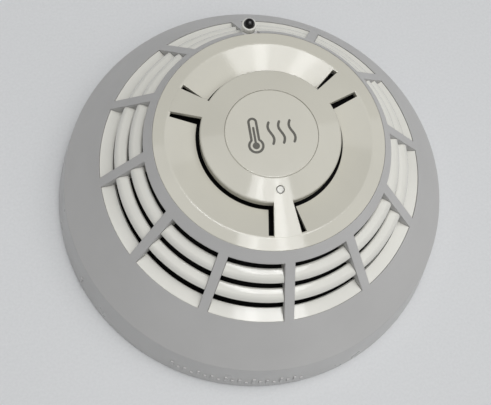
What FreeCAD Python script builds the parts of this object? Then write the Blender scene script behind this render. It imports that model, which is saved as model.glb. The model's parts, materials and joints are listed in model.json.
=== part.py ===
import FreeCAD, Part

import math
import os

# Plug-in heat detector: a twist-off head on a mounting base, in millimetres.
# The origin is the centre of the base's back face. +Z points towards the sensing face.

# ---------------------------------------------------------------- driving dimensions
# Outer cover
RIM_R = 56.0
RIM_Z = 0.4
EDGE_R = 53.75
EDGE_Z = 13.06
EDGE_ROUND = 0.7
GRILLE_OUTER_R = 43.4
GRILLE_OUTER_Z = 27.5
GRILLE_INNER_R = 32.0
GRILLE_INNER_Z = 42.75
COLLAR_TOP_R = 29.7
COLLAR_EDGE_THICKNESS = 0.5
UNDERCUT_R = 30.75
UNDERCUT_Z = 41.1
COVER_WALL = 2.0
SPOKE_COUNT = 12
SPOKE_WIDTH = 2.56
LEDGE_R = 27.6
LEDGE_Z = 44.0
LEDGE_BOTTOM_Z = 42.4
BOSS_R = 2.8
BOSS_PITCH_R = 46.5
BOSS_ANGLES = (30, 150, 270)
TICK_COUNT = 20
TICK_FIRST_ANGLE = -123.0
TICK_STEP = 2.0
TICK_HEIGHTS = (3.2, 1.6, 2.4, 0.9)
TICK_BOTTOM_Z = 3.2
TICK_PROUD = 0.35
TICK_WIDTH = 0.8
ALIGNMENT_MARK_ANGLE = -159.2
ALIGNMENT_MARK_HEIGHT = 2.6

# Louvres
BLADE_PITCH_R = 3.8
LAND_INNER_R = 39.8
LAND_INNER_Z = 28.0
LAND_OUTER_Z = 27.25
LAND_GAP = 0.1
LIP_R = 39.45
LIP_Z = 27.0
WEB_WIDTH = 1.6
HUB_INNER_R = 27.7
HUB_OUTER_R = 28.9
HUB_TOP_Z = 39.4
HUB_BOTTOM_Z = 36.2
SPOKE_CLEARANCE = 0.08
NOTCH_DEPTH_CLEARANCE = 0.2

# Thermistor and its collar
THERMISTOR_X = 0.26
THERMISTOR_Y = 33.16
POST_R = 1.92
POST_BORE_R = 1.5
POST_TOP_Z = 44.6
POST_BOTTOM_Z = 32.2
POST_EDGE_ROUND = 0.3
POST_CLEARANCE = 0.15
POST_NOTCH_INNER_Y = 29.55
POST_NOTCH_Z = 43.0
BEAD_R = 1.43
BEAD_BOTTOM_Z = 41.6
BEAD_TOP_Z = 46.15
LEAD_R = 0.25
LEAD_SPREAD = 0.7
SLEEVE_R = 0.5

# Front cap
CAP_GAP = 0.06
CAP_EDGE_Z = 45.78
CREASE_R = 26.4
CREASE_ROUND = 1.5
DISC_R = 17.95
BADGE_R = 11.85
BADGE_Z = 49.0
BADGE_EDGE_ROUND = 0.25
BADGE_THICKNESS = 1.2
BADGE_GAP = 0.06
CAP_THICKNESS = 1.3
DISC_THICKNESS = 2.4
DISC_EDGE_ROUND = 0.45
BRIDGE_HALF_ANGLE = 7.65
SLOT_ANGLE = 3.0
SLOT_OUTER_R = 25.9
SECTOR_INNER_R = 18.8
SECTOR_INNER_Z = 44.85
BRIDGE_ANGLES = (-90, 30, 150)
HOOK_ANGLES = (-30, 90, 210)
HOOK_WIDTH = 6.0
HOOK_BOTTOM_Z = 41.6
HOOK_CATCH_GAP = 0.25

# Status window
WINDOW_X = -0.3
WINDOW_Y = -14.75
PIPE_R = 0.92
PIPE_GAP = 0.12
PIPE_BOTTOM_Z = 20.5

# Chamber shroud
SHROUD_R = 27.2
SHROUD_TOP_Z = 41.4
SHROUD_SHOULDER_Z = 35.4
SHROUD_FOOT_R = 42.0
SHROUD_FOOT_Z = 20.6
SHROUD_WALL = 1.0

# Circuit board
BOARD_R = 42.5
BOARD_Z = 17.0
BOARD_THICKNESS = 1.6
BOARD_SCREW_R = 30.0
BOARD_SCREW_ANGLES = (0, 120, 240)
BOARD_NOTCH_R = 1.6
BOARD_NOTCH_ANGLES = (75, 195, 315)

# Parts on the board
MCU_X = 9.0
MCU_Y = 6.0
MCU_SIZE = 9.0
MCU_STANDOFF = 0.15
MCU_HEIGHT = 1.4
PIN_COUNT = 8
PIN_STEP = 1.0
PIN_WIDTH = 0.4
CAPACITOR_R = 3.15
CAPACITOR_HEIGHT = 7.7
CAPACITOR_PLACES = ((-16.0, 9.0), (-16.0, -4.0))
RESISTOR_PLACES = (
    (-4, 16), (0, 16), (4, 16), (18, -6), (18, -10), (18, -14), (-6, -22), (-2, -22), (12, 22),
)
DIODE_PLACES = ((24, 8), (24, 14))
CRYSTAL_LENGTH = 11.0
CRYSTAL_WIDTH = 3.5
CRYSTAL_HEIGHT = 3.6
CRYSTAL_X = 2.0
CRYSTAL_Y = -4.75

# Rear chassis and bayonet
CHASSIS_R = 50.8
CHASSIS_Z = 11.0
CHASSIS_TOP_Z = 13.0
TWIST_RING_INNER_R = 38.0
TWIST_RING_OUTER_R = 40.0
TAB_OUTER_R = 43.0
TAB_Z = 5.2
TAB_THICKNESS = 1.8
TAB_ANGLE = 20.0
LUG_INNER_R = 40.6
LUG_Z = 7.4
LUG_ANGLE = 22.0
BAYONET_ANGLES = (30, 150, 270)
STOP_ANGLES = ((-12.7, -10.7), (36.7, 38.7))

# Mounting base
BASE_R = 51.0
BASE_RIM_WALL = 1.8
BASE_RIM_TOP_Z = 9.0
BASE_THICKNESS = 2.0
GUIDE_INNER_R = 43.6
GUIDE_OUTER_R = 45.4
GUIDE_TOP_Z = 8.9
CABLE_ENTRY_R = 11.0
RECESS_DEPTH = 0.8
RECESS_INNER_R = 15.0
RECESS_OUTER_R = 46.0
BACK_RIB_WIDTH = 2.0
BACK_RIB_ANGLES = (22.5, 67.5, 112.5, 157.5, 202.5, 247.5, 292.5, 337.5)
SLOT_R = 2.1
SLOT_LENGTH = 9.0
SLOT_PAD_MARGIN = 2.4
SLOT_SPACING_X = 60.0
SLOT_SPACING_Y = 50.0

# Terminals and contacts
TERMINAL_ANGLES = (45, 135, 225, 315)
TERMINAL_R = 24.0
PEDESTAL_TOP_Z = 4.0
PEDESTAL_INNER_R = 19.0
PEDESTAL_OUTER_R = 37.0
PEDESTAL_WIDTH = 9.0
CONTACT_WIDTH = 6.0
CONTACT_THICKNESS = 0.8
CONTACT_TOP_Z = 5.9
CLAMP_SIZE = 7.0
CLAMP_THICKNESS = 1.0
TERMINAL_SCREW_R = 1.5
RIVET_R = 0.9
RIVET_PITCH_R = 35.0
BLADE_R = 32.0
BLADE_WIDTH = 4.0
BLADE_THICKNESS = 0.8
BLADE_FOOT_Z = 6.3
BLADE_FOOT_LENGTH = 8.0
SLIDE_GAP = 0.15

# ---------------------------------------------------------------- derived values
CONE_SLOPE = (GRILLE_INNER_Z - GRILLE_OUTER_Z) / (GRILLE_OUTER_R - GRILLE_INNER_R)
CONE_DEPTH = COVER_WALL * math.hypot(1, CONE_SLOPE)
BOARD_TOP_Z = BOARD_Z + BOARD_THICKNESS
CAP_R = COLLAR_TOP_R - CAP_GAP - 0.02
CAP_SLOPE = (BADGE_Z - CAP_EDGE_Z) / (CAP_R - BADGE_R)

Z_AXIS = FreeCAD.Vector(0, 0, 1)
ORIGIN = FreeCAD.Vector(0, 0, 0)


# ---------------------------------------------------------------- helpers
def profile_point(point):
    """A radius and a height, as a point in the XZ plane."""
    return FreeCAD.Vector(point[0], 0, point[1])


def revolve(face):
    return face.revolve(ORIGIN, Z_AXIS, 360)


def turned(points):
    """Solid of revolution of a closed polygon of radius and height points."""
    corners = [profile_point(point) for point in points]
    return revolve(Part.Face(Part.makePolygon(corners + corners[:1])))


def ring(inner_r, outer_r, low_z, high_z):
    return turned([(inner_r, low_z), (outer_r, low_z), (outer_r, high_z), (inner_r, high_z)])


def rod(radius, low_z, high_z, x=0.0, y=0.0):
    return Part.makeCylinder(radius, high_z - low_z, FreeCAD.Vector(x, y, low_z))


def block(low_x, high_x, low_y, high_y, low_z, high_z):
    size = (high_x - low_x, high_y - low_y, high_z - low_z)
    return Part.makeBox(*size, FreeCAD.Vector(low_x, low_y, low_z))


def rotated(shape, angle):
    """A copy turned about the centre axis, in degrees."""
    copy = shape.copy()
    copy.rotate(ORIGIN, Z_AXIS, angle)
    return copy


def repeated(shape, angles):
    return [rotated(shape, angle) for angle in angles]


def fused(shapes):
    return shapes[0].multiFuse(shapes[1:]).removeSplitter()


def plate(points, width):
    """Radial plate of a radius and height outline, centred on the +X direction."""
    corners = [profile_point(point) for point in points]
    face = Part.Face(Part.makePolygon(corners + corners[:1]))
    face.translate(FreeCAD.Vector(0, -width / 2, 0))
    return face.extrude(FreeCAD.Vector(0, width, 0))


def sector(inner_r, outer_r, low_z, high_z, first_angle, last_angle):
    """Part of a ring between two angles, in degrees."""
    corners = [
        FreeCAD.Vector(inner_r, 0, low_z),
        FreeCAD.Vector(outer_r, 0, low_z),
        FreeCAD.Vector(outer_r, 0, high_z),
        FreeCAD.Vector(inner_r, 0, high_z),
    ]
    face = Part.Face(Part.makePolygon(corners + corners[:1]))
    return rotated(face.revolve(ORIGIN, Z_AXIS, last_angle - first_angle), first_angle)


def save(name, shape):
    shape.exportStep("parts/%s.step" % name)


def cone_z(radius):
    """Height of the grille cone's outer surface."""
    return GRILLE_OUTER_Z + (GRILLE_OUTER_R - radius) * CONE_SLOPE


def pan_head_screw(head_r, head_z, head_height, shaft_r, shaft_z, x, y):
    """Pan-head screw along Z with a cross recess; head_z is where the head seats."""
    direction = math.copysign(1, head_z - shaft_z)
    seat = FreeCAD.Vector(x, y, head_z)
    head = Part.makeCylinder(head_r, head_height, seat, FreeCAD.Vector(0, 0, direction))
    head = head.makeFillet(head_height * 0.45, [outer_edge(head, head_z + direction * head_height)])
    low_z = min(head_z, shaft_z)
    high_z = max(head_z, shaft_z)
    shaft = rod(shaft_r, low_z, high_z, x, y)
    recess_depth = head_height * 0.6
    top_z = head_z + direction * head_height
    recess_low = min(top_z, top_z - direction * recess_depth)
    arm = head_r * 0.62
    half = head_r * 0.12
    recess_high = recess_low + recess_depth
    head = head.fuse(shaft)
    head = head.cut(block(x - arm, x + arm, y - half, y + half, recess_low, recess_high))
    return head.cut(block(x - half, x + half, y - arm, y + arm, recess_low, recess_high))


def outer_edge(shape, height):
    """The longest circular edge at a height."""
    edges = [edge for edge in shape.Edges if abs(edge.BoundBox.ZMin - height) < 1e-4
             and abs(edge.BoundBox.ZMax - height) < 1e-4]
    return max(edges, key=lambda edge: edge.Length)


# ---------------------------------------------------------------- head
def spoke(width, depth_below, raise_above):
    """Radial bar that follows the grille cone, between two depths along Z."""
    inner_r = GRILLE_INNER_R - 1.0
    outer_r = GRILLE_OUTER_R + 1.0
    return plate(
        [
            (inner_r, cone_z(inner_r) + raise_above),
            (outer_r, cone_z(outer_r) + raise_above),
            (outer_r, cone_z(outer_r) - depth_below),
            (inner_r, cone_z(inner_r) - depth_below),
        ],
        width,
    )


def spoke_angles():
    return [-90 + index * 360 / SPOKE_COUNT for index in range(SPOKE_COUNT)]


def wall_tick(wall_lean, height):
    """Small raised bar on the leaning side wall."""
    embed = 0.8
    wall_r = RIM_R - (TICK_BOTTOM_Z - RIM_Z) * wall_lean
    top_r = wall_r - height * wall_lean
    outline = [
        (wall_r - embed, TICK_BOTTOM_Z),
        (wall_r + TICK_PROUD, TICK_BOTTOM_Z),
        (top_r + TICK_PROUD, TICK_BOTTOM_Z + height),
        (top_r - embed, TICK_BOTTOM_Z + height),
    ]
    return plate(outline, TICK_WIDTH)


def outer_cover():
    collar_top_z = cone_z(COLLAR_TOP_R)
    wall_lean = (RIM_R - EDGE_R) / (EDGE_Z - RIM_Z)
    lower_slope = (GRILLE_OUTER_Z - EDGE_Z) / (EDGE_R - GRILLE_OUTER_R)
    lower_depth = COVER_WALL * math.hypot(1, lower_slope)
    skirt_inner_r = RIM_R - COVER_WALL
    corner_z = EDGE_Z - 1.0
    corner_r = skirt_inner_r - (corner_z - RIM_Z) * wall_lean
    cone_start_z = GRILLE_OUTER_Z - lower_depth
    cone_start_r = GRILLE_OUTER_R
    knee_z = cone_start_z - (corner_r - 0.4 - cone_start_r) * lower_slope
    throat_r = LEDGE_R + 2.6
    body = turned(
        [
            (RIM_R, RIM_Z),
            (EDGE_R, EDGE_Z),
            (GRILLE_OUTER_R, GRILLE_OUTER_Z),
            (COLLAR_TOP_R, collar_top_z),
            (COLLAR_TOP_R - 0.02, LEDGE_Z),
            (LEDGE_R, LEDGE_Z),
            (LEDGE_R, LEDGE_BOTTOM_Z),
            (throat_r, cone_z(throat_r) - CONE_DEPTH),
            (cone_start_r, cone_start_z),
            (corner_r - 0.4, knee_z),
            (corner_r, corner_z - 0.6),
            (skirt_inner_r, RIM_Z),
        ]
    )
    rounded = [edge for edge in body.Edges
               if abs(edge.BoundBox.ZMin - EDGE_Z) < 1e-4 and edge.BoundBox.ZLength < 1e-4]
    body = body.makeFillet(EDGE_ROUND, rounded)
    for angle in BOSS_ANGLES:
        boss = rod(BOSS_R, CHASSIS_TOP_Z, cone_start_z - 1.0, BOSS_PITCH_R, 0)
        under_cone = turned(
            [
                (30.0, CHASSIS_TOP_Z),
                (corner_r, CHASSIS_TOP_Z),
                (cone_start_r, cone_start_z + 1.0),
                (30.0, cone_start_z + 1.0),
            ]
        )
        body = body.fuse(rotated(boss.common(under_cone), angle))
    bays = turned(
        [
            (GRILLE_INNER_R, 50.0),
            (GRILLE_INNER_R, GRILLE_INNER_Z - COLLAR_EDGE_THICKNESS),
            (UNDERCUT_R, UNDERCUT_Z),
            (UNDERCUT_R, 20.0),
            (GRILLE_OUTER_R, 20.0),
            (GRILLE_OUTER_R, 50.0),
        ]
    )
    arms = [rotated(block(20, 60, -SPOKE_WIDTH / 2, SPOKE_WIDTH / 2, 10, 55), angle)
            for angle in spoke_angles()]
    body = body.cut(bays.cut(fused(arms)))
    clear_r = POST_R + POST_CLEARANCE
    body = body.cut(rod(clear_r, 25, 50, THERMISTOR_X, THERMISTOR_Y))
    left_x, right_x = THERMISTOR_X - clear_r, THERMISTOR_X + clear_r
    body = body.cut(block(left_x, right_x, POST_NOTCH_INNER_Y, THERMISTOR_Y, POST_NOTCH_Z, 50))
    pilot = rod(1.05, CHASSIS_TOP_Z - 1, CHASSIS_TOP_Z + 5.0, BOSS_PITCH_R, 0)
    for hole in repeated(pilot, BOSS_ANGLES):
        body = body.cut(hole)
    ticks = [rotated(wall_tick(wall_lean, ALIGNMENT_MARK_HEIGHT), ALIGNMENT_MARK_ANGLE)]
    for index in range(TICK_COUNT):
        height = TICK_HEIGHTS[index % len(TICK_HEIGHTS)]
        ticks.append(rotated(wall_tick(wall_lean, height), TICK_FIRST_ANGLE + index * TICK_STEP))
    return body.multiFuse(ticks)


def blade_ring(step):
    """One louvre ring: a rounded blade, thicker at its nose."""
    shift_r = step * BLADE_PITCH_R
    shift_z = -step * BLADE_PITCH_R * CONE_SLOPE

    def at(radius, height):
        return FreeCAD.Vector(radius + shift_r, 0, height + shift_z)

    heel_low = at(32.4, 37.75)
    heel = at(32.03, 38.45)
    crest = at(32.6, 39.0)
    crown = at(33.49, 38.88)
    back = at(34.36, 38.63)
    shoulder = at(34.99, 38.22)
    brow = at(35.4, 37.6)
    nose = at(35.55, 37.0)
    chin = at(35.15, 36.35)
    edges = [
        Part.Arc(heel_low, heel, crest).toShape(),
        Part.Arc(crest, crown, back).toShape(),
        Part.Arc(back, shoulder, brow).toShape(),
        Part.Arc(brow, nose, chin).toShape(),
        Part.makeLine(chin, heel_low),
    ]
    return revolve(Part.Face(Part.Wire(edges)))


def vent_louvres():
    land_outer_r = GRILLE_OUTER_R - LAND_GAP
    land = turned(
        [
            (LAND_INNER_R, LAND_INNER_Z),
            (land_outer_r, LAND_OUTER_Z),
            (land_outer_r, LAND_OUTER_Z - 1.4),
            (41.2, 25.9),
            (40.5, 24.9),
            (LIP_R, 24.9),
            (LIP_R, LIP_Z),
            (LAND_INNER_R - 0.2, LIP_Z + 0.05),
        ]
    )
    web = plate(
        [
            (HUB_INNER_R + 0.4, HUB_TOP_Z),
            (31.9, HUB_TOP_Z),
            (40.2, cone_z(40.2) - CONE_DEPTH - NOTCH_DEPTH_CLEARANCE),
            (40.2, 25.2),
            (34.0, 31.5),
            (HUB_INNER_R + 0.4, HUB_BOTTOM_Z),
        ],
        WEB_WIDTH,
    )
    hub = ring(HUB_INNER_R, HUB_OUTER_R, HUB_BOTTOM_Z, HUB_TOP_Z)
    post = rod(POST_R, POST_BOTTOM_Z, POST_TOP_Z, THERMISTOR_X, THERMISTOR_Y)
    webs = repeated(web, spoke_angles())
    grille = fused([land, hub, blade_ring(0), blade_ring(1)] + webs)
    gap_tool = spoke(SPOKE_WIDTH + 2 * SPOKE_CLEARANCE, CONE_DEPTH + NOTCH_DEPTH_CLEARANCE, 3.0)
    for notch in repeated(gap_tool, spoke_angles()):
        grille = grille.cut(notch)
    post = post.makeFillet(POST_EDGE_ROUND, [outer_edge(post, POST_TOP_Z)])
    bore = rod(POST_BORE_R, POST_BOTTOM_Z - 1, POST_TOP_Z + 1, THERMISTOR_X, THERMISTOR_Y)
    return grille.fuse(post).cut(bore)


def cap_z(radius):
    """Height of the cap's conical face: centre disc, bridges and outer band."""
    return CAP_EDGE_Z + (CAP_R - radius) * CAP_SLOPE


def front_cap():
    seat_r = BADGE_R + BADGE_GAP
    seat_z = BADGE_Z - BADGE_THICKNESS
    root_r = DISC_R - 2.0
    crease_z = cap_z(CREASE_R)
    disc = turned(
        [
            (0.0, seat_z),
            (seat_r, seat_z),
            (seat_r, cap_z(seat_r)),
            (DISC_R, cap_z(DISC_R)),
            (DISC_R, cap_z(DISC_R) - DISC_THICKNESS),
            (0.0, seat_z - CAP_THICKNESS),
        ]
    )
    saucer = turned(
        [
            (SECTOR_INNER_R, SECTOR_INNER_Z),
            (CREASE_R, crease_z),
            (CAP_R, CAP_EDGE_Z),
            (CAP_R, LEDGE_Z + 0.02),
            (CREASE_R, crease_z - CAP_THICKNESS),
            (SECTOR_INNER_R, SECTOR_INNER_Z - CAP_THICKNESS + 0.3),
        ]
    )
    saucer = saucer.makeFillet(CREASE_ROUND, [outer_edge(saucer, crease_z)])
    clear_angle = BRIDGE_HALF_ANGLE + SLOT_ANGLE
    corridor = sector(root_r, SLOT_OUTER_R, 40, 52, -clear_angle, clear_angle)
    for opening in repeated(corridor, BRIDGE_ANGLES):
        saucer = saucer.cut(opening)
    spans = turned(
        [
            (root_r, cap_z(root_r)),
            (CREASE_R, crease_z),
            (CREASE_R, crease_z - CAP_THICKNESS),
            (root_r, cap_z(root_r) - CAP_THICKNESS),
        ]
    )
    bridge = spans.common(sector(root_r - 1, CREASE_R + 1, 40, 52, -BRIDGE_HALF_ANGLE, BRIDGE_HALF_ANGLE))
    cap = fused([disc, saucer] + repeated(bridge, BRIDGE_ANGLES))
    cap = cap.makeFillet(DISC_EDGE_ROUND, slot_edges(cap))
    leg = plate(
        [
            (24.6, crease_z - 1.0),
            (25.8, crease_z - 1.0),
            (26.9, LEDGE_Z - 0.6),
            (26.9, LEDGE_BOTTOM_Z - HOOK_CATCH_GAP),
            (28.1, LEDGE_BOTTOM_Z - HOOK_CATCH_GAP),
            (26.9, HOOK_BOTTOM_Z),
            (25.7, HOOK_BOTTOM_Z),
            (25.7, LEDGE_Z - 0.6),
        ],
        HOOK_WIDTH,
    )
    cap = fused([cap] + repeated(leg, HOOK_ANGLES))
    return cap.cut(rod(PIPE_R + PIPE_GAP, 40, 52, WINDOW_X, WINDOW_Y))


def slot_edges(cap):
    """The upper edges of the disc and the bridges along the slots."""
    face_tolerance = 0.02
    end_margin = 0.1
    edges = []
    for edge in cap.Edges:
        ends = [vertex.Point for vertex in edge.Vertexes]
        radii = [math.hypot(end.x, end.y) for end in ends]
        on_face = all(abs(end.z - cap_z(radius)) < face_tolerance for end, radius in zip(ends, radii))
        beside_slot = min(radii) > DISC_R - end_margin and max(radii) < SLOT_OUTER_R + end_margin
        if on_face and beside_slot:
            edges.append(edge)
    return edges


def cap_badge():
    badge = rod(BADGE_R, BADGE_Z - BADGE_THICKNESS, BADGE_Z)
    return badge.makeFillet(BADGE_EDGE_ROUND, [outer_edge(badge, BADGE_Z)])


def light_pipe():
    """Rod whose sensing end is flush with the cap's conical face."""
    under_face = turned(
        [(0.0, PIPE_BOTTOM_Z), (DISC_R, PIPE_BOTTOM_Z), (DISC_R, cap_z(DISC_R)), (0.0, cap_z(0.0))]
    )
    return rod(PIPE_R, PIPE_BOTTOM_Z, BADGE_Z, WINDOW_X, WINDOW_Y).common(under_face)


def thermistor_bead():
    dome_z = BEAD_TOP_Z - BEAD_R
    neck_z = BEAD_BOTTOM_Z + 0.9
    edges = [
        Part.makeLine(FreeCAD.Vector(0, 0, BEAD_BOTTOM_Z), FreeCAD.Vector(0.9, 0, BEAD_BOTTOM_Z)),
        Part.makeLine(FreeCAD.Vector(0.9, 0, BEAD_BOTTOM_Z), FreeCAD.Vector(BEAD_R, 0, neck_z)),
        Part.makeLine(FreeCAD.Vector(BEAD_R, 0, neck_z), FreeCAD.Vector(BEAD_R, 0, dome_z)),
        Part.Arc(
            FreeCAD.Vector(BEAD_R, 0, dome_z),
            FreeCAD.Vector(BEAD_R * math.cos(0.8), 0, dome_z + BEAD_R * math.sin(0.8)),
            FreeCAD.Vector(0, 0, BEAD_TOP_Z),
        ).toShape(),
        Part.makeLine(FreeCAD.Vector(0, 0, BEAD_TOP_Z), FreeCAD.Vector(0, 0, BEAD_BOTTOM_Z)),
    ]
    bead = revolve(Part.Face(Part.Wire(edges)))
    bead.translate(FreeCAD.Vector(THERMISTOR_X, THERMISTOR_Y, 0))
    return bead


def thermistor_leads():
    return [rod(LEAD_R, BOARD_TOP_Z, BEAD_BOTTOM_Z, THERMISTOR_X + side * LEAD_SPREAD, THERMISTOR_Y)
            for side in (-1, 1)]


def lead_sleeves():
    sleeves = []
    for side in (-1, 1):
        x = THERMISTOR_X + side * LEAD_SPREAD
        outer = rod(SLEEVE_R, BOARD_TOP_Z + 1.2, BEAD_BOTTOM_Z - 0.8, x, THERMISTOR_Y)
        sleeves.append(outer.cut(rod(LEAD_R, BOARD_TOP_Z, BEAD_TOP_Z, x, THERMISTOR_Y)))
    return sleeves


def chamber_shroud():
    shell = turned(
        [
            (0.0, SHROUD_TOP_Z),
            (SHROUD_R, SHROUD_TOP_Z),
            (SHROUD_R, SHROUD_SHOULDER_Z),
            (SHROUD_FOOT_R, SHROUD_FOOT_Z),
            (SHROUD_FOOT_R, BOARD_TOP_Z),
            (SHROUD_FOOT_R - SHROUD_WALL, BOARD_TOP_Z),
            (SHROUD_FOOT_R - SHROUD_WALL, SHROUD_FOOT_Z - 0.6),
            (SHROUD_R - SHROUD_WALL, SHROUD_SHOULDER_Z - 0.6),
            (SHROUD_R - SHROUD_WALL, SHROUD_TOP_Z - SHROUD_WALL),
            (0.0, SHROUD_TOP_Z - SHROUD_WALL),
        ]
    )
    shell = shell.cut(rod(PIPE_R + 0.3, SHROUD_TOP_Z - 5, SHROUD_TOP_Z + 1, WINDOW_X, WINDOW_Y))
    return shell.cut(rod(POST_BORE_R, 15, 35, THERMISTOR_X, THERMISTOR_Y))


# ---------------------------------------------------------------- electronics
def circuit_board():
    board = rod(BOARD_R, BOARD_Z, BOARD_TOP_Z)
    notch = rod(BOARD_NOTCH_R, BOARD_Z - 1, BOARD_TOP_Z + 1, BOARD_R, 0)
    for opening in repeated(notch, BOARD_NOTCH_ANGLES):
        board = board.cut(opening)
    screw_hole = rod(1.4, BOARD_Z - 1, BOARD_TOP_Z + 1, BOARD_SCREW_R, 0)
    for hole in repeated(screw_hole, BOARD_SCREW_ANGLES):
        board = board.cut(hole)
    return board


def microcontroller():
    half = MCU_SIZE / 2
    low_z = BOARD_TOP_Z + MCU_STANDOFF
    high_z = low_z + MCU_HEIGHT
    body = block(MCU_X - half, MCU_X + half, MCU_Y - half, MCU_Y + half, low_z, high_z)
    dot = rod(0.5, high_z - 0.1, high_z + 1, MCU_X - half + 1.3, MCU_Y + half - 1.3)
    return body.cut(dot)


def microcontroller_pins():
    half = MCU_SIZE / 2
    outline = [
        (half, BOARD_TOP_Z + 0.7),
        (half + 0.5, BOARD_TOP_Z + 0.7),
        (half + 0.8, BOARD_TOP_Z),
        (half + 1.4, BOARD_TOP_Z),
        (half + 1.4, BOARD_TOP_Z + 0.2),
        (half + 1.0, BOARD_TOP_Z + 0.2),
        (half + 0.7, BOARD_TOP_Z + 0.9),
        (half, BOARD_TOP_Z + 0.9),
    ]
    pins = []
    for index in range(PIN_COUNT):
        pin = plate(outline, PIN_WIDTH)
        pin.translate(FreeCAD.Vector(0, (index - (PIN_COUNT - 1) / 2) * PIN_STEP, 0))
        pins.extend(repeated(pin, (0, 90, 180, 270)))
    for pin in pins:
        pin.translate(FreeCAD.Vector(MCU_X, MCU_Y, 0))
    return pins


def filter_capacitors():
    cans = []
    top_z = BOARD_TOP_Z + CAPACITOR_HEIGHT
    for x, y in CAPACITOR_PLACES:
        can = rod(CAPACITOR_R, BOARD_TOP_Z, top_z, x, y)
        cans.append(can.makeFillet(0.5, [outer_edge(can, top_z)]))
    return cans


def status_led():
    package = centred_block(WINDOW_X, WINDOW_Y, 3.2, 2.8, 1.1)
    lens = rod(1.0, BOARD_TOP_Z + 1.0, BOARD_TOP_Z + 1.6, WINDOW_X, WINDOW_Y)
    return package.fuse(lens)


def centred_block(x, y, length, width, height):
    """Block on the board, centred on a point."""
    return block(
        x - length / 2, x + length / 2, y - width / 2, y + width / 2, BOARD_TOP_Z, BOARD_TOP_Z + height
    )


def chip_resistors():
    return [centred_block(x, y, 2.0, 1.2, 0.6) for x, y in RESISTOR_PLACES]


def surge_diodes():
    return [centred_block(x, y, 4.6, 3.6, 2.2) for x, y in DIODE_PLACES]


def crystal_can():
    can = centred_block(CRYSTAL_X, CRYSTAL_Y, CRYSTAL_LENGTH, CRYSTAL_WIDTH, CRYSTAL_HEIGHT)
    upright = [edge for edge in can.Edges if edge.BoundBox.ZLength > CRYSTAL_HEIGHT / 2]
    return can.makeFillet(CRYSTAL_WIDTH * 0.45, upright)


# ---------------------------------------------------------------- chassis, blades, fasteners
def blade_slots():
    half = BLADE_WIDTH / 2 + SLIDE_GAP
    reach = BLADE_THICKNESS / 2 + SLIDE_GAP
    slot = block(BLADE_R - reach, BLADE_R + reach, -half, half, CHASSIS_Z - 1, CHASSIS_TOP_Z + 1)
    return repeated(slot, TERMINAL_ANGLES)


def rear_chassis():
    floor = rod(CHASSIS_R, CHASSIS_Z, CHASSIS_TOP_Z)
    twist_ring = ring(TWIST_RING_INNER_R, TWIST_RING_OUTER_R, TAB_Z, CHASSIS_Z)
    half = TAB_ANGLE / 2
    tab = sector(TWIST_RING_OUTER_R - 0.5, TAB_OUTER_R, TAB_Z, TAB_Z + TAB_THICKNESS, -half, half)
    standoff = rod(2.6, CHASSIS_TOP_Z, BOARD_Z, BOARD_SCREW_R, 0)
    standoffs = repeated(standoff, BOARD_SCREW_ANGLES)
    chassis = fused([floor, twist_ring] + repeated(tab, BAYONET_ANGLES) + standoffs)
    holes = repeated(rod(1.5, CHASSIS_Z - 1, CHASSIS_TOP_Z + 1, BOSS_PITCH_R, 0), BOSS_ANGLES)
    holes += repeated(rod(2.8, CHASSIS_Z - 1, CHASSIS_Z + 0.6, BOSS_PITCH_R, 0), BOSS_ANGLES)
    holes += repeated(rod(1.0, CHASSIS_Z + 1.0, BOARD_Z + 1, BOARD_SCREW_R, 0), BOARD_SCREW_ANGLES)
    holes += blade_slots()
    for hole in holes:
        chassis = chassis.cut(hole)
    return chassis


def chassis_screws():
    screw = pan_head_screw(2.5, CHASSIS_Z + 0.6, 1.6, 1.04, CHASSIS_TOP_Z + 4.8, BOSS_PITCH_R, 0)
    return repeated(screw, BOSS_ANGLES)


def board_screws():
    screw = pan_head_screw(2.2, BOARD_TOP_Z, 1.5, 0.99, CHASSIS_Z + 1.5, BOARD_SCREW_R, 0)
    return repeated(screw, BOARD_SCREW_ANGLES)


def rating_label():
    label_thickness = 0.2
    return rod(18.0, CHASSIS_Z - label_thickness, CHASSIS_Z)


def contact_blades():
    stem = block(
        BLADE_R - BLADE_THICKNESS / 2, BLADE_R + BLADE_THICKNESS / 2,
        -BLADE_WIDTH / 2, BLADE_WIDTH / 2, BLADE_FOOT_Z, BOARD_Z,
    )
    foot = block(
        BLADE_R - 1.6, BLADE_R + 1.6,
        -BLADE_FOOT_LENGTH / 2, BLADE_FOOT_LENGTH / 2, BLADE_FOOT_Z, BLADE_FOOT_Z + BLADE_THICKNESS,
    )
    return repeated(stem.fuse(foot).removeSplitter(), TERMINAL_ANGLES)


# ---------------------------------------------------------------- mounting base
def screw_slot(width_r, length, low_z, high_z):
    """Slot through the plate, lengthwise along X."""
    reach = length / 2 - width_r
    body = block(-reach, reach, -width_r, width_r, low_z, high_z)
    return fused([body, rod(width_r, low_z, high_z, -reach), rod(width_r, low_z, high_z, reach)])


def placed_slots(width_r, length, low_z, high_z):
    """The slots of both screw spacings, turned to their four places."""
    places = []
    slot = screw_slot(width_r, length, low_z, high_z)
    for spacing, angles in ((SLOT_SPACING_X, (0, 180)), (SLOT_SPACING_Y, (90, 270))):
        copy = slot.copy()
        copy.translate(FreeCAD.Vector(spacing / 2, 0, 0))
        places += repeated(copy, angles)
    return places


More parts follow.
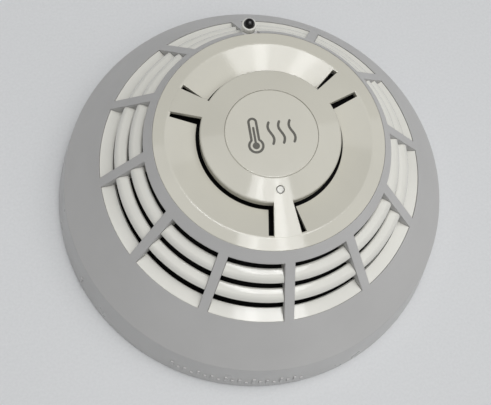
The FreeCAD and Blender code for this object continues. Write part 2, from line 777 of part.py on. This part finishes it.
def base_plate():
    floor = rod(BASE_R, 0, BASE_THICKNESS)
    rim = ring(BASE_R - BASE_RIM_WALL, BASE_R, BASE_THICKNESS, BASE_RIM_TOP_Z)
    guide = ring(GUIDE_INNER_R, GUIDE_OUTER_R, BASE_THICKNESS, GUIDE_TOP_Z)
    half = LUG_ANGLE / 2
    root_r = GUIDE_INNER_R + 0.4
    lugs = repeated(sector(LUG_INNER_R, root_r, LUG_Z, GUIDE_TOP_Z, -half, half), BAYONET_ANGLES)
    for first, last in STOP_ANGLES:
        stop = sector(LUG_INNER_R, root_r, BASE_THICKNESS, GUIDE_TOP_Z, first, last)
        lugs += repeated(stop, BAYONET_ANGLES)
    pedestal = block(
        PEDESTAL_INNER_R, PEDESTAL_OUTER_R,
        -PEDESTAL_WIDTH / 2, PEDESTAL_WIDTH / 2, BASE_THICKNESS, PEDESTAL_TOP_Z,
    )
    pedestals = repeated(pedestal, TERMINAL_ANGLES)
    collar = ring(CABLE_ENTRY_R, CABLE_ENTRY_R + 1.6, BASE_THICKNESS, BASE_THICKNESS + 2.0)
    base = fused([floor, rim, guide, collar] + lugs + pedestals)
    recess = ring(RECESS_INNER_R, RECESS_OUTER_R, -1, RECESS_DEPTH)
    half_rib = BACK_RIB_WIDTH / 2
    rib = block(RECESS_INNER_R - 1, RECESS_OUTER_R + 1, -half_rib, half_rib, -2, BASE_THICKNESS)
    pads = placed_slots(SLOT_R + SLOT_PAD_MARGIN, SLOT_LENGTH + 2 * SLOT_PAD_MARGIN, -2, BASE_THICKNESS)
    recess = recess.cut(fused(repeated(rib, BACK_RIB_ANGLES) + pads))
    base = base.cut(recess)
    base = base.cut(rod(CABLE_ENTRY_R, -1, 10))
    for slot in placed_slots(SLOT_R, SLOT_LENGTH, -1, BASE_THICKNESS + 1):
        base = base.cut(slot)
    screw_bore = rod(TERMINAL_SCREW_R, BASE_THICKNESS - 0.2, PEDESTAL_TOP_Z + 1, TERMINAL_R, 0)
    rivet_bore = rod(RIVET_R, BASE_THICKNESS - 0.2, PEDESTAL_TOP_Z + 1, RIVET_PITCH_R, 0)
    for hole in repeated(screw_bore, TERMINAL_ANGLES) + repeated(rivet_bore, TERMINAL_ANGLES):
        base = base.cut(hole)
    return base


def base_contacts():
    low_z = PEDESTAL_TOP_Z
    strip_z = low_z + CONTACT_THICKNESS
    strip = plate(
        [
            (PEDESTAL_INNER_R + 1.0, low_z),
            (PEDESTAL_OUTER_R - 0.5, low_z),
            (PEDESTAL_OUTER_R - 0.5, strip_z),
            (33.6, strip_z),
            (32.6, CONTACT_TOP_Z),
            (31.4, CONTACT_TOP_Z),
            (28.6, strip_z),
            (PEDESTAL_INNER_R + 1.0, strip_z),
        ],
        CONTACT_WIDTH,
    )
    crest_z = CONTACT_TOP_Z - 0.5
    spring_gap = plate([(29.6, low_z), (33.2, low_z), (32.3, crest_z), (31.6, crest_z)], CONTACT_WIDTH + 1)
    strip = strip.cut(spring_gap)
    strip = strip.cut(rod(TERMINAL_SCREW_R, 0, 10, TERMINAL_R, 0))
    strip = strip.cut(rod(RIVET_R, 0, 10, RIVET_PITCH_R, 0))
    return repeated(strip, TERMINAL_ANGLES)


def contact_rivets():
    strip_z = PEDESTAL_TOP_Z + CONTACT_THICKNESS
    shank = rod(RIVET_R, BASE_THICKNESS, strip_z, RIVET_PITCH_R, 0)
    head = rod(1.4, strip_z, strip_z + 0.5, RIVET_PITCH_R, 0)
    head = head.makeFillet(0.25, [outer_edge(head, strip_z + 0.5)])
    return repeated(shank.fuse(head), TERMINAL_ANGLES)


def terminal_clamps():
    low_z = PEDESTAL_TOP_Z + CONTACT_THICKNESS
    half = CLAMP_SIZE / 2
    clamp = block(TERMINAL_R - half, TERMINAL_R + half, -half, half, low_z, low_z + CLAMP_THICKNESS)
    upright = [edge for edge in clamp.Edges if edge.BoundBox.ZLength > CLAMP_THICKNESS / 2]
    clamp = clamp.makeFillet(0.6, upright)
    clamp = clamp.cut(rod(TERMINAL_SCREW_R, 0, 10, TERMINAL_R, 0))
    return repeated(clamp, TERMINAL_ANGLES)


def terminal_screws():
    seat_z = PEDESTAL_TOP_Z + CONTACT_THICKNESS + CLAMP_THICKNESS
    screw = pan_head_screw(2.9, seat_z, 2.2, TERMINAL_SCREW_R, BASE_THICKNESS, TERMINAL_R, 0)
    return repeated(screw, TERMINAL_ANGLES)


# ---------------------------------------------------------------- export
SINGLE_PIECES = (
    outer_cover, vent_louvres, front_cap, cap_badge, light_pipe, thermistor_bead, chamber_shroud,
    circuit_board, microcontroller, status_led, crystal_can, rear_chassis, rating_label, base_plate,
)
GROUPS = (
    thermistor_leads, lead_sleeves, microcontroller_pins, filter_capacitors, chip_resistors, surge_diodes,
    chassis_screws, board_screws, contact_blades, base_contacts, contact_rivets, terminal_clamps,
    terminal_screws,
)

os.makedirs("parts", exist_ok=True)
for make in SINGLE_PIECES:
    save(make.__name__, make())
for make in GROUPS:
    save(make.__name__, Part.makeCompound(make()))
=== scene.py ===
import json
import math

import bmesh
import bpy
from mathutils import Matrix, Quaternion, Vector


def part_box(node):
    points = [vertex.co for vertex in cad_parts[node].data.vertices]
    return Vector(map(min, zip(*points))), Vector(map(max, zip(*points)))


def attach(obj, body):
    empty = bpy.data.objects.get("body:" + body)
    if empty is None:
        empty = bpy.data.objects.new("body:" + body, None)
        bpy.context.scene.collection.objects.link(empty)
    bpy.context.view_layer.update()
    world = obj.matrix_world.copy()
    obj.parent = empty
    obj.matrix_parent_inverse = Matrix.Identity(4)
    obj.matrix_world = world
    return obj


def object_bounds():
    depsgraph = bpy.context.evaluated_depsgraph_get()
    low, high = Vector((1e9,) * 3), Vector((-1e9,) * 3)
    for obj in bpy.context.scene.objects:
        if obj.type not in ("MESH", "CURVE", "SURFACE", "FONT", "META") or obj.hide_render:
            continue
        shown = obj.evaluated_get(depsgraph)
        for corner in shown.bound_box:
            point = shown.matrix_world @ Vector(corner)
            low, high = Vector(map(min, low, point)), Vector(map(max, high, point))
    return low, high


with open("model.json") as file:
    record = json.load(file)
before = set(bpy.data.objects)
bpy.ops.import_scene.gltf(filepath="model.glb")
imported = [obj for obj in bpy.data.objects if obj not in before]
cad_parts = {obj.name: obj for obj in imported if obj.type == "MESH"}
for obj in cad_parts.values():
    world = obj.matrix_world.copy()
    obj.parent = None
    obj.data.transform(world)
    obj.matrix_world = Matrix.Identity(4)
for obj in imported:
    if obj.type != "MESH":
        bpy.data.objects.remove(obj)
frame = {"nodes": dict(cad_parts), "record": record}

cad_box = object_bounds()

MM = 0.001

# ---------------------------------------------------------------- camera, light and floor sizes
CAMERA_AZIMUTH = math.radians(-26.69)
CAMERA_ELEVATION = math.radians(70.57)
CAMERA_ROLL = math.radians(18.37)
CAMERA_DISTANCE = 282.9 * MM
CAMERA_AIM = Vector((-1.6, -1.5, -0.7)) * MM
CAMERA_LENS_MM = 69.65
CAMERA_SENSOR_MM = 36.0
CAMERA_NEAR = 0.01
CAMERA_FAR = 20.0

FLOOR_HALF = 6.0
FLOOR_GAP = 0.1 * MM
FLOOR_CELLS = 8
WORLD_COLOUR = (0.96, 0.98, 1.0, 1.0)
WORLD_STRENGTH = 0.15

# Lamps: name, direction from the origin, distance, size along X and along Y in metres, power in watts
LAMPS = (
    ("ceiling", (0.17, -0.18, 1.0), 1.75, 2.4, 2.4, 17.6),
    ("panel", (0.11, 0.0, 1.0), 1.2, 0.33, 0.69, 3.4),
    ("left_tube", (0.038, 0.0, 1.0), 1.18, 0.045, 0.66, 0.31),
    ("right_tube", (0.155, 0.0, 1.0), 1.17, 0.045, 0.66, 0.31),
)

# ---------------------------------------------------------------- finish values
CREAM = (0.69, 0.67, 0.585)
MILKY = (0.70, 0.69, 0.62)
PLASTIC_TONE = 0.03           # how far a moulding's colour drifts either way
SMUDGE_SIZE = 7 * MM
COVER_WALL_HEIGHT = 12.6 * MM
COVER_MATT = (0.46, 0.56)     # roughness of the cone, lowest and highest
COVER_GLOSS = (0.27, 0.36)    # roughness of the side wall

# ---------------------------------------------------------------- pictogram sizes
INK_THICKNESS = 0.04 * MM
INK_LINE = 0.62 * MM
THERMOMETER_X = -4.4 * MM
THERMOMETER_TOP = 4.4 * MM
BULB_Y = -2.9 * MM
BULB_R = 1.75 * MM
STEM_R = 0.95 * MM
COLUMN_DROP = 2.2 * MM
COLUMN_BULB_SHARE = 0.52
COLUMN_STEM_SHARE = 0.3
STEM_STEPS = 13
BULB_STEPS = 41
WAVE_PLACES = (-0.2 * MM, 2.5 * MM, 5.2 * MM)
WAVE_LENGTH = 6.4 * MM
WAVE_SWING = 0.55 * MM
WAVE_STEPS = 49
WAVE_TIP_HALF = 0.01 * MM


# ---------------------------------------------------------------- node helpers
class Finish:
    """One procedural material: its node tree, its main shader and what its textures share."""

    def __init__(self, name):
        self.material = bpy.data.materials.new(name)
        self.material.use_nodes = True
        self.tree = self.material.node_tree
        self.shader = self.tree.nodes["Principled BSDF"]
        self.place = self.add("ShaderNodeTexCoord").outputs["Object"]
        self.normal = None

    def add(self, kind, inputs=(), **settings):
        """A new node, with its attributes set and its inputs given as values or as outputs to link."""
        made = self.tree.nodes.new(kind)
        for key, value in settings.items():
            setattr(made, key, value)
        for key, value in dict(inputs).items():
            if isinstance(value, bpy.types.NodeSocket):
                self.tree.links.new(value, made.inputs[key])
            else:
                made.inputs[key].default_value = value
        return made

    def set(self, **values):
        """Constant values on the main shader's own sockets; an underscore stands for a space."""
        for key, value in values.items():
            self.shader.inputs[key.replace("_", " ")].default_value = value

    def drive(self, socket, output):
        self.tree.links.new(output, self.shader.inputs[socket])

    def stretched(self, factors):
        """The texture place, stretched along the object's axes."""
        return self.add("ShaderNodeMapping", {"Vector": self.place, "Scale": factors}).outputs[0]

    def noise(self, size, detail=2.0, place=None, roughness=0.5):
        """Noise whose blotches are about that size in metres, from 0 to 1."""
        inputs = {"Vector": place or self.place, "Scale": 1 / size, "Detail": detail, "Roughness": roughness}
        return self.add("ShaderNodeTexNoise", inputs).outputs["Fac"]

    def spread(self, value, low, high, start=0.3, end=0.7):
        """A 0 to 1 value, spread over a range."""
        inputs = {"Value": value, "From Min": start, "From Max": end, "To Min": low, "To Max": high}
        return self.add("ShaderNodeMapRange", inputs).outputs[0]

    def mixed(self, share, first, second):
        """A colour between two colours."""
        made = self.add("ShaderNodeMix", data_type="RGBA")
        self.tree.links.new(share, made.inputs["Factor"])
        for socket, value in (("A", first), ("B", second)):
            target = next(i for i in made.inputs if i.name == socket and i.type == "RGBA")
            if isinstance(value, bpy.types.NodeSocket):
                self.tree.links.new(value, target)
            else:
                target.default_value = (*value, 1.0)
        return next(o for o in made.outputs if o.type == "RGBA")

    def round_edges(self, radius):
        """Edges shade as if broken by a small radius."""
        self.normal = self.add("ShaderNodeBevel", {"Radius": radius}, samples=6).outputs[0]
        self.drive("Normal", self.normal)

    def bump(self, height, depth):
        """Relief of that depth in metres, on top of what is there."""
        inputs = {"Height": height, "Distance": depth, "Strength": 1.0}
        if self.normal:
            inputs["Normal"] = self.normal
        self.normal = self.add("ShaderNodeBump", inputs).outputs[0]
        self.drive("Normal", self.normal)

    def edge_share(self, radius, sharpness):
        """1 on an outer or inner edge, 0 on a plain face."""
        smooth = self.add("ShaderNodeBevel", {"Radius": radius}, samples=6).outputs[0]
        plain = self.add("ShaderNodeNewGeometry").outputs["Normal"]
        dot = self.add("ShaderNodeVectorMath", operation="DOT_PRODUCT")
        self.tree.links.new(smooth, dot.inputs[0])
        self.tree.links.new(plain, dot.inputs[1])
        inputs = {"Value": dot.outputs["Value"], "From Min": 1.0, "From Max": 1.0 - sharpness}
        return self.add("ShaderNodeMapRange", inputs).outputs[0]


def scaled(colour, factor):
    return tuple(min(1.0, channel * factor) for channel in colour)


# ---------------------------------------------------------------- materials
def moulded(name, colour, rough, grain, grain_depth, peel_depth, edge):
    """Injection-moulded plastic: slow colour drift, uneven gloss, orange peel, mould grain, soft edges."""
    finish = Finish(name)
    drift = finish.noise(18 * MM, 3.0)
    darker, lighter = scaled(colour, 1 - PLASTIC_TONE), scaled(colour, 1 + PLASTIC_TONE)
    body = finish.mixed(finish.spread(drift, 0, 1), darker, lighter)
    rubbed = finish.edge_share(edge * 1.3, 0.25)
    worn = finish.mixed(finish.spread(rubbed, 0, 0.35, 0, 1), body, scaled(colour, 1.12))
    finish.drive("Base Color", worn)
    smudges = finish.noise(SMUDGE_SIZE, 4.0)
    finish.drive("Roughness", finish.spread(smudges, rough * 0.88, rough * 1.12))
    finish.round_edges(edge)
    finish.bump(finish.noise(2.6 * MM, 1.0), peel_depth)
    finish.bump(finish.noise(grain, 2.0, roughness=0.6), grain_depth)
    finish.set(IOR=1.5)
    return finish


def cover_plastic():
    """Matt spark-eroded texture on the cone, polished on the side wall below the edge."""
    colour = (0.605, 0.598, 0.588)
    wall_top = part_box("outer_cover")[0].z + COVER_WALL_HEIGHT
    finish = moulded("cover_plastic", colour, 0.50, 0.32 * MM, 0.012 * MM, 0.004 * MM, 0.25 * MM)
    height = finish.add("ShaderNodeSeparateXYZ", {"Vector": finish.place}).outputs["Z"]
    on_wall = finish.spread(height, 1.0, 0.0, wall_top - 0.4 * MM, wall_top + 0.2 * MM)
    smudges = finish.noise(SMUDGE_SIZE, 4.0)
    blend = finish.add("ShaderNodeMix", {
        "Factor": on_wall,
        "A": finish.spread(smudges, *COVER_MATT),
        "B": finish.spread(smudges, *COVER_GLOSS),
    }, data_type="FLOAT")
    finish.drive("Roughness", blend.outputs["Result"])
    return finish


def cream_plastic():
    return moulded("cream_plastic", CREAM, 0.07, 0.22 * MM, 0.0003 * MM, 0.002 * MM, 0.16 * MM)


def lit_louvre_plastic():
    """A lighter copy of the cream plastic for the louvre moulding: painted light, standing in for the extra
    light the louvres catch from low angles.
    """
    return moulded("lit_louvre_plastic", (0.87, 0.86, 0.80), 0.08, 0.22 * MM, 0.0004 * MM, 0.002 * MM, 0.16 * MM)


def badge_plastic():
    return moulded("badge_plastic", CREAM, 0.12, 0.22 * MM, 0.0006 * MM, 0.002 * MM, 0.16 * MM)


def base_plastic():
    return moulded("base_plastic", (0.66, 0.66, 0.645), 0.42, 0.3 * MM, 0.008 * MM, 0.006 * MM, 0.2 * MM)


def black_plastic():
    """Dull black, so that the slots look deep."""
    finish = moulded("black_plastic", (0.009, 0.009, 0.0095), 0.7, 0.3 * MM, 0.01 * MM, 0.004 * MM, 0.2 * MM)
    finish.set(Specular_IOR_Level=0.15)
    return finish


def sleeve_plastic():
    return moulded("sleeve_plastic", (0.62, 0.58, 0.45), 0.55, 0.15 * MM, 0.006 * MM, 0.004 * MM, 0.08 * MM)


def label_film():
    return moulded("label_film", (0.80, 0.80, 0.78), 0.38, 0.12 * MM, 0.002 * MM, 0.004 * MM, 0.05 * MM)


def black_epoxy():
    return moulded("black_epoxy", (0.010, 0.009, 0.009), 0.12, 0.2 * MM, 0.0006 * MM, 0.002 * MM, 0.12 * MM)


def ceramic_chip():
    return moulded("ceramic_chip", (0.05, 0.05, 0.055), 0.5, 0.1 * MM, 0.006 * MM, 0.002 * MM, 0.08 * MM)


def clear_plastic():
    """Milky light pipe: its end is as pale as the cap; its edge where it is let in is darkened, painted
    shade standing in for the shadowed gap.
    """
    finish = moulded("clear_plastic", MILKY, 0.08, 0.2 * MM, 0.0003 * MM, 0.001 * MM, 0.06 * MM)
    # painted shade: the edge of the pipe's end goes nearly black, in place of the shadowed gap around it
    painted_gap_shade = finish.edge_share(0.36 * MM, 0.04)
    finish.drive("Base Color", finish.mixed(painted_gap_shade, MILKY, (0.045, 0.045, 0.04)))
    finish.set(Transmission_Weight=0.1)
    return finish


def led_plastic():
    finish = moulded("led_plastic", (0.62, 0.10, 0.07), 0.15, 0.2 * MM, 0.002 * MM, 0.002 * MM, 0.1 * MM)
    finish.set(Transmission_Weight=0.3)
    return finish


def metal(name, colour, rough, streak, grain_depth, edge):
    """Plated or drawn metal: fine streaks, patchy gloss and a slight tarnish."""
    finish = Finish(name)
    tarnish = finish.noise(3.5 * MM, 4.0)
    bright = finish.mixed(finish.spread(tarnish, 0, 1), scaled(colour, 0.86), scaled(colour, 1.05))
    rubbed = finish.edge_share(edge * 1.5, 0.3)
    worn = finish.mixed(finish.spread(rubbed, 0, 0.5, 0, 1), bright, scaled(colour, 1.15))
    finish.drive("Base Color", worn)
    lines = finish.noise(0.9 * MM, 3.0, finish.stretched(streak), 0.65)
    finish.drive("Roughness", finish.spread(lines, rough * 0.75, rough * 1.3))
    finish.round_edges(edge)
    finish.bump(lines, grain_depth)
    finish.set(Metallic=1.0)
    return finish


def tinned_copper():
    return metal("tinned_copper", (0.72, 0.72, 0.70), 0.34, (1, 1, 8), 0.002 * MM, 0.05 * MM)


def contact_metal():
    return metal("contact_metal", (0.80, 0.60, 0.30), 0.30, (1, 9, 1), 0.003 * MM, 0.1 * MM)


def screw_steel():
    return metal("screw_steel", (0.68, 0.69, 0.70), 0.28, (5, 5, 1), 0.003 * MM, 0.12 * MM)


def can_metal():
    return metal("can_metal", (0.76, 0.76, 0.77), 0.26, (1, 1, 12), 0.002 * MM, 0.15 * MM)


def board_laminate():
    """Green solder mask over a weave, with raised copper tracks and tinned holes."""
    finish = Finish("board_laminate")
    weave = finish.noise(0.7 * MM, 2.0, finish.stretched((6, 1, 1)))
    mask = finish.mixed(finish.spread(weave, 0, 1), (0.010, 0.075, 0.030), (0.016, 0.100, 0.042))
    tracks = finish.add(
        "ShaderNodeTexBrick",
        {"Vector": finish.place, "Scale": 1 / (9 * MM), "Mortar Size": 0.05, "Mortar Smooth": 0.1},
        offset=0.37,
        squash=1.6,
    )
    covered = finish.mixed(tracks.outputs["Fac"], mask, (0.030, 0.160, 0.060))
    holes = finish.add("ShaderNodeTexVoronoi", {"Vector": finish.place, "Scale": 1 / (6 * MM)})
    tinned = finish.spread(holes.outputs["Distance"], 1.0, 0.0, 0.06, 0.08)
    finish.drive("Base Color", finish.mixed(tinned, covered, (0.62, 0.60, 0.55)))
    finish.drive("Metallic", tinned)
    finish.drive("Roughness", finish.spread(weave, 0.22, 0.34))
    finish.round_edges(0.1 * MM)
    finish.bump(tracks.outputs["Fac"], 0.035 * MM)
    return finish


def mark_ink():
    """Pad-printed ink: a matt dark film with pinholes and a slightly uneven coat."""
    finish = Finish("mark_ink")
    coat = finish.noise(0.35 * MM, 4.0, roughness=0.65)
    ink = finish.mixed(finish.spread(coat, 0, 1), (0.085, 0.082, 0.066), (0.135, 0.130, 0.108))
    finish.drive("Base Color", ink)
    finish.drive("Roughness", finish.spread(coat, 0.38, 0.52))
    finish.bump(coat, 0.004 * MM)
    return finish


def floor_paper():
    """Pale studio paper with a fine tooth."""
    finish = Finish("floor_paper")
    fibres = finish.noise(0.8 * MM, 4.0, roughness=0.6)
    paper = finish.mixed(finish.spread(fibres, 0, 1), (0.75, 0.76, 0.77), (0.80, 0.81, 0.82))
    finish.drive("Base Color", paper)
    finish.drive("Roughness", finish.spread(fibres, 0.62, 0.78))
    finish.bump(fibres, 0.01 * MM)
    return finish


FINISHES = (
    cover_plastic, cream_plastic, badge_plastic, base_plastic, black_plastic, sleeve_plastic, label_film,
    black_epoxy, ceramic_chip, clear_plastic, led_plastic, tinned_copper, contact_metal, screw_steel,
    can_metal, board_laminate,
)


# painted light: the vent louvres get a lighter copy of the cream plastic in place of light from low angles
PAINTED_LIGHT_FINISHES = {"vent_louvres": lit_louvre_plastic}


def dress_nodes():
    """Every CAD node gets the finish that the record names for it, or a lighter copy of it with painted
    light.
    """
    finishes = {make.__name__: make().material for make in FINISHES}
    for row in frame["record"]["subparts"]:
        # painted light: a listed node takes the lightened copy instead of its recorded plastic
        own = PAINTED_LIGHT_FINISHES.get(row["node"])
        material = own().material if own else finishes[row["material_slot"]]
        mesh = frame["nodes"][row["node"]].data
        mesh.materials.clear()
        mesh.materials.append(material)


# ---------------------------------------------------------------- pictogram on the badge
def arc(centre_x, centre_y, radius, first, last, count):
    """Points on an arc, angles in degrees."""
    points = []
    for index in range(count):
        angle = math.radians(first + (last - first) * index / (count - 1))
        points.append(Vector((centre_x + radius * math.cos(angle), centre_y + radius * math.sin(angle))))
    return points


def thermometer_outline(stem_r, bulb_r, top_y):
    """A round stem that runs down into a bulb, as one closed loop."""
    join = math.degrees(math.asin(stem_r / bulb_r))
    cap = arc(THERMOMETER_X, top_y - stem_r, stem_r, 0, 180, STEM_STEPS)
    bulb = arc(THERMOMETER_X, BULB_Y, bulb_r, 90 + join, 450 - join, BULB_STEPS)
    return cap + bulb


def offset_loop(points, distance):
    """A closed loop moved outwards by a distance, point by point."""
    count = len(points)
    moved = []
    for index, point in enumerate(points):
        along = (points[(index + 1) % count] - points[index - 1]).normalized()
        moved.append(point + Vector((along.y, -along.x)) * distance)
    return moved


def add_ribbon(mesh, first_side, second_side, height, closed):
    """Quads between two rows of points."""
    rows = []
    for side in (first_side, second_side):
        rows.append([mesh.verts.new((point.x, point.y, height)) for point in side])
    count = len(first_side)
    for index in range(count if closed else count - 1):
        following = (index + 1) % count
        mesh.faces.new((rows[0][index], rows[0][following], rows[1][following], rows[1][index]))


def wave_sides(centre_x):
    """Both sides of a wavy stroke whose ends narrow to round tips."""
    last = WAVE_STEPS - 1
    centre = []
    for index in range(WAVE_STEPS):
        share = index / last
        sway = WAVE_SWING * math.sin(share * 2 * math.pi)
        centre.append(Vector((centre_x + sway, (share - 0.5) * WAVE_LENGTH)))
    left, right = [], []
    for index, point in enumerate(centre):
        along = (centre[min(index + 1, last)] - centre[max(index - 1, 0)]).normalized()
        from_end = min(index, last - index) / last * WAVE_LENGTH
        tip = min(1.0, from_end / (INK_LINE / 2))
        half = INK_LINE / 2 * math.sqrt(max(0.0, 1 - (1 - tip) ** 2)) + WAVE_TIP_HALF
        side = Vector((along.y, -along.x)) * half
        left.append(point - side)
        right.append(point + side)
    return left, right


def badge_mark():
    """A generic thermometer with rising heat, printed on the badge."""
    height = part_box("cap_badge")[1].z + INK_THICKNESS
    mesh = bmesh.new()
    glass = thermometer_outline(STEM_R, BULB_R, THERMOMETER_TOP)
    add_ribbon(mesh, offset_loop(glass, INK_LINE / 2), offset_loop(glass, -INK_LINE / 2), height, True)
    column_top = THERMOMETER_TOP - COLUMN_DROP
    column = thermometer_outline(STEM_R * COLUMN_STEM_SHARE, BULB_R * COLUMN_BULB_SHARE, column_top)
    mesh.faces.new([mesh.verts.new((point.x, point.y, height)) for point in column])
    for centre_x in WAVE_PLACES:
        left, right = wave_sides(centre_x)
        add_ribbon(mesh, left, right, height, False)
    bmesh.ops.recalc_face_normals(mesh, faces=mesh.faces)
    data = bpy.data.meshes.new("badge_mark")
    mesh.to_mesh(data)
    mesh.free()
    piece = bpy.data.objects.new("badge_mark", data)
    bpy.context.scene.collection.objects.link(piece)
    film = piece.modifiers.new("film", "SOLIDIFY")
    film.thickness = INK_THICKNESS
    film.offset = -1.0
    data.materials.append(mark_ink().material)
    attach(piece, "detector_head")
    return piece


# ---------------------------------------------------------------- studio
def studio_floor():
    """A sheet of studio paper just under the object."""
    mesh = bmesh.new()
    bmesh.ops.create_grid(mesh, x_segments=FLOOR_CELLS, y_segments=FLOOR_CELLS, size=FLOOR_HALF)
    data = bpy.data.meshes.new("studio_floor")
    mesh.to_mesh(data)
    mesh.free()
    floor = bpy.data.objects.new("studio_floor", data)
    floor.location.z = cad_box[0].z - FLOOR_GAP
    bpy.context.scene.collection.objects.link(floor)
    data.materials.append(floor_paper().material)


def area_light(name, direction, distance, width, depth, power):
    """A rectangular lamp that faces the object, with one side level and square to Y."""
    light = bpy.data.lights.new(name, "AREA")
    light.shape = "RECTANGLE"
    light.size = width
    light.size_y = depth
    light.energy = power
    lamp = bpy.data.objects.new(name, light)
    towards = Vector(direction).normalized()
    lamp.location = towards * distance
    lamp.rotation_mode = "QUATERNION"
    level = Vector((0, 1, 0)).cross(towards).normalized()
    lamp.rotation_quaternion = Matrix((level, towards.cross(level), towards)).transposed().to_quaternion()
    bpy.context.scene.collection.objects.link(lamp)


def studio_lights():
    world = bpy.data.worlds.new("studio")
    world.use_nodes = True
    background = world.node_tree.nodes["Background"]
    background.inputs["Color"].default_value = WORLD_COLOUR
    background.inputs["Strength"].default_value = WORLD_STRENGTH
    bpy.context.scene.world = world
    for lamp in LAMPS:
        area_light(*lamp)


def studio_camera():
    lens = bpy.data.cameras.new("camera")
    lens.lens = CAMERA_LENS_MM
    lens.sensor_width = CAMERA_SENSOR_MM
    lens.clip_start = CAMERA_NEAR
    lens.clip_end = CAMERA_FAR
    camera = bpy.data.objects.new("camera", lens)
    level = math.cos(CAMERA_ELEVATION)
    back = Vector(
        (math.sin(CAMERA_AZIMUTH) * level, -math.cos(CAMERA_AZIMUTH) * level, math.sin(CAMERA_ELEVATION))
    )
    camera.location = CAMERA_AIM + back * CAMERA_DISTANCE
    camera.rotation_mode = "QUATERNION"
    camera.rotation_quaternion = (-back).to_track_quat("-Z", "Y") @ Quaternion((0, 0, 1), CAMERA_ROLL)
    bpy.context.scene.collection.objects.link(camera)
    bpy.context.scene.camera = camera


bpy.context.scene.view_settings.view_transform = "Standard"
studio_camera()
studio_lights()
studio_floor()
dress_nodes()
badge_mark()
